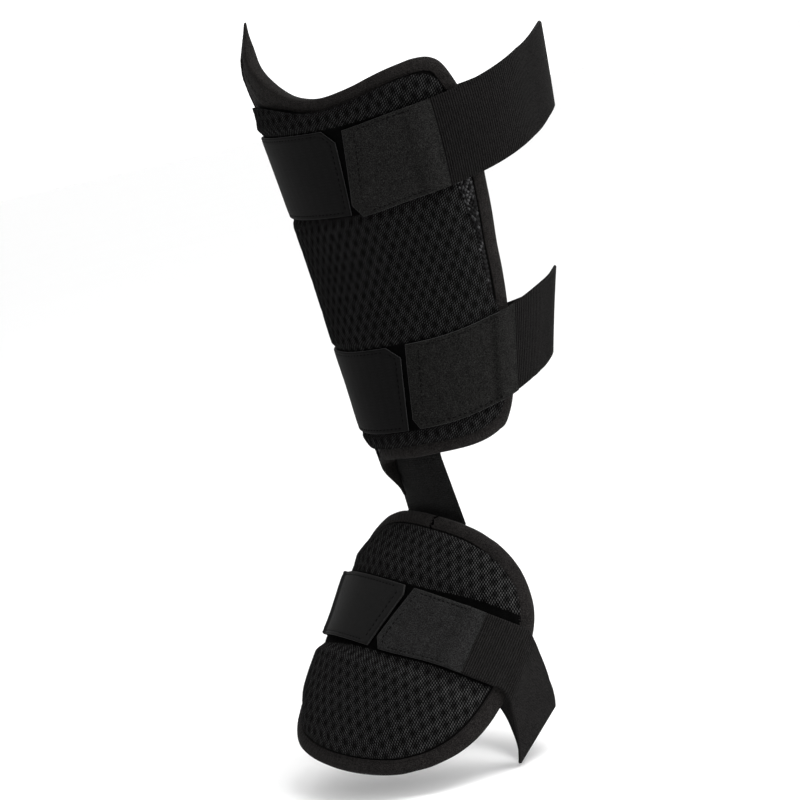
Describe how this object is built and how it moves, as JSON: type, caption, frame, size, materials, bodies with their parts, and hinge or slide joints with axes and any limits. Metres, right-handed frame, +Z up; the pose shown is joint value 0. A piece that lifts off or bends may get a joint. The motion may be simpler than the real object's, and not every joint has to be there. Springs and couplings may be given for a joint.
{
  "type": "batter's leg guard",
  "caption": "Padded shin guard with mesh-covered shell and elastic straps, linked by a webbing strap to a padded foot guard with its own strap, in its worn shape.",
  "frame": {"origin": "on the leg's axis, level with the lower edge of the shin guard, where the leg sits when the guard is worn", "axes": "+Z up the shin, the front of the shin faces -Y, +X to the right as seen from the front"},
  "size_m": [0.1817, 0.2144, 0.4004],
  "materials": {
    "liner_foam": "matt brushed cloth over foam",
    "hard_shell": "glossy, woven pattern",
    "mesh_cloth": "matt open mesh",
    "knit_binding": "matt knit",
    "elastic_webbing": "matt ribbed elastic",
    "plain_webbing": "matt webbing",
    "tab_cloth": "satin pressed cloth"
  },
  "bodies": {
    "root": {"shin_liner": "liner_foam", "shin_shell": "hard_shell", "shin_cover": "mesh_cloth", "shin_binding": "knit_binding", "upper_strap": "elastic_webbing", "upper_left_tab": "tab_cloth", "upper_right_tab": "tab_cloth", "lower_strap": "elastic_webbing", "lower_left_tab": "tab_cloth", "lower_right_tab": "tab_cloth", "link_strap": "plain_webbing", "foot_liner": "liner_foam", "foot_binding": "knit_binding", "foot_instep_pad": "mesh_cloth", "foot_toe_pad": "mesh_cloth", "foot_strap": "elastic_webbing", "foot_left_tab": "tab_cloth", "foot_right_tab": "tab_cloth"}
  },
  "joints": []
}
